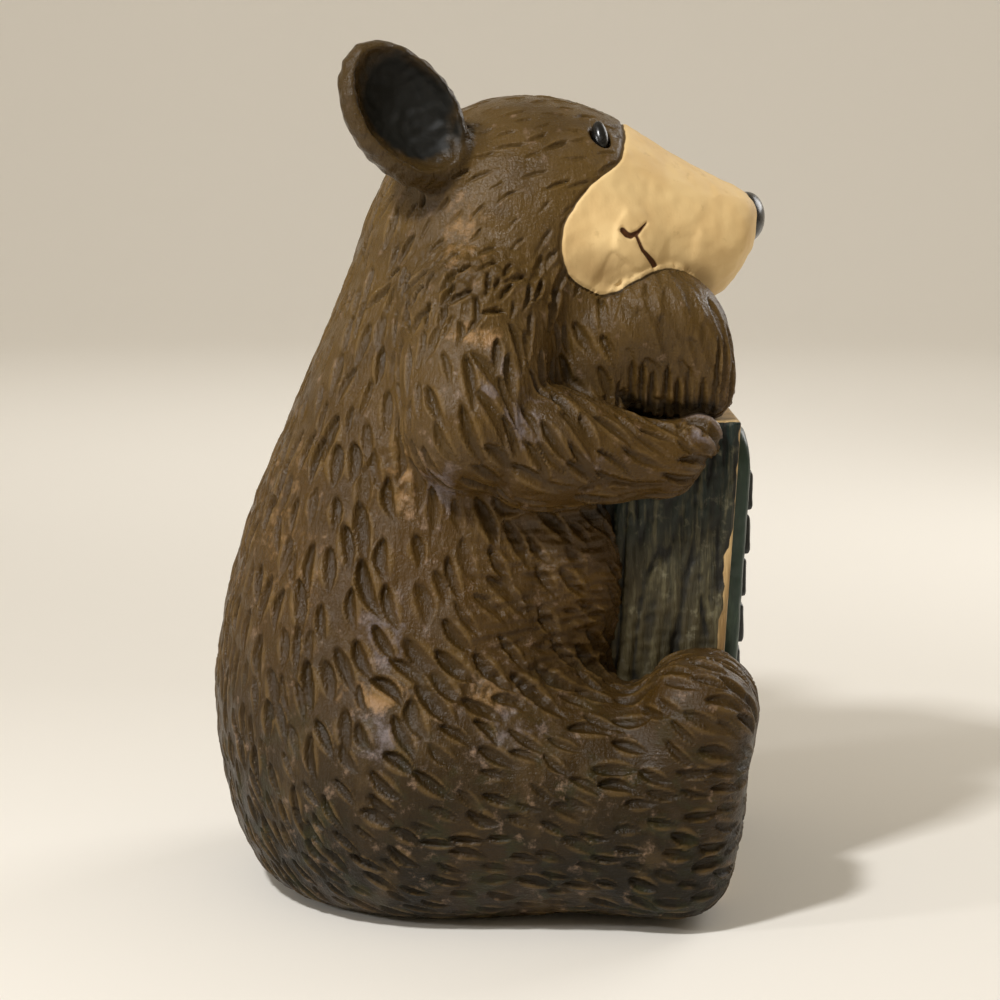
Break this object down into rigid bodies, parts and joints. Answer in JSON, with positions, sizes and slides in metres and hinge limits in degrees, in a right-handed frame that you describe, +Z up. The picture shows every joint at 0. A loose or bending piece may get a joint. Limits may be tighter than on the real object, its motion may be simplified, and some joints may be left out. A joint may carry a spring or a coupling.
{
  "type": "carved bear figurine",
  "caption": "Sitting bear ornament in chainsaw-carved style, chin on paw, holding an upright half-log with a sign panel between its legs.",
  "frame": {"origin": "centre of the bounding box at the flat underside", "axes": "+Z up; the bear faces -Y, and its right side is at -X"},
  "size_m": [0.1686, 0.1756, 0.2663],
  "materials": {
    "painted_resin": "satin hand-painted cast resin: brown fur, cream muzzle, grey-green bark, dark green panel"
  },
  "bodies": {
    "root": {"bear": "painted_resin"}
  },
  "joints": []
}
